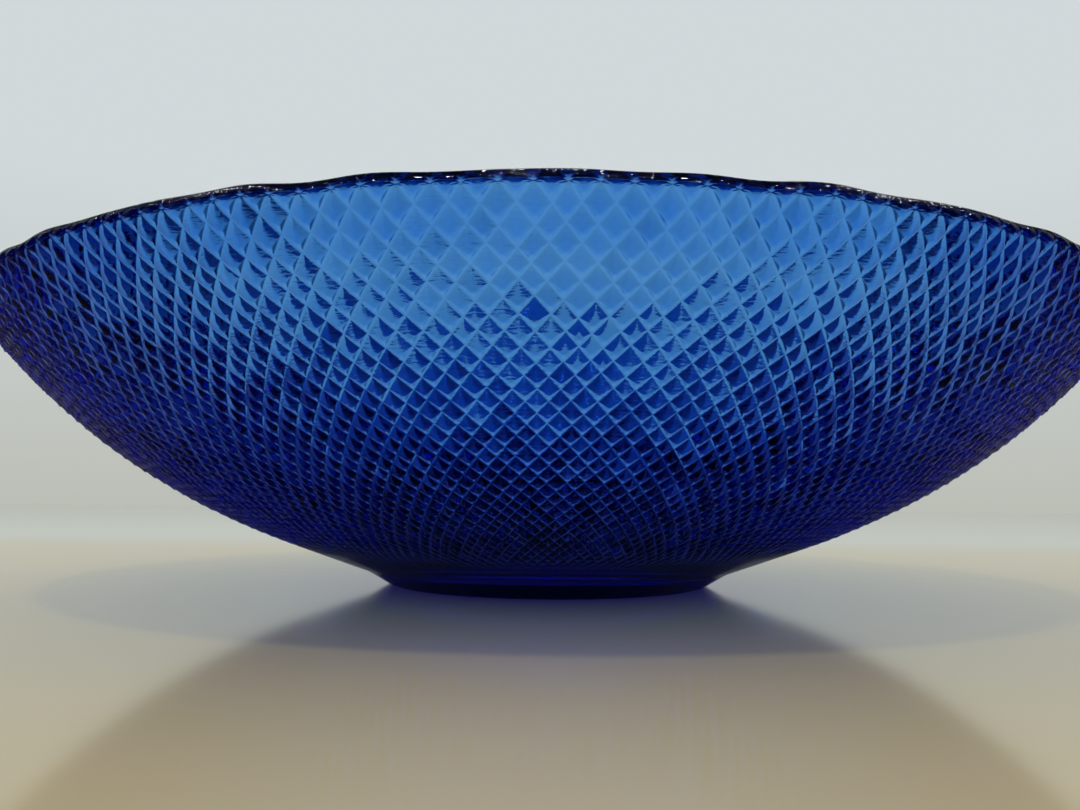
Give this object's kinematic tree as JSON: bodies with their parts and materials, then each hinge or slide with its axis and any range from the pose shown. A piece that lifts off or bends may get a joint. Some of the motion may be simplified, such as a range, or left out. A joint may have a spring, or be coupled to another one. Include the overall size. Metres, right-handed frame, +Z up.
{
  "type": "fruit bowl",
  "caption": "Wide shallow round fruit bowl of cobalt-blue pressed glass, with a flared wall, a rounded lip and a low foot ring.",
  "frame": {"origin": "centre of the plane that the foot ring stands on", "axes": "+Z up along the bowl's axis, towards its open mouth; X and Y are level, and the bowl is round about Z"},
  "size_m": [0.3, 0.3, 0.068],
  "materials": {
    "cobalt_glass": "polished, deep cobalt blue"
  },
  "bodies": {
    "root": {"foot_ring": "cobalt_glass", "base": "cobalt_glass", "belly": "cobalt_glass", "wall": "cobalt_glass", "rim": "cobalt_glass"}
  },
  "joints": []
}
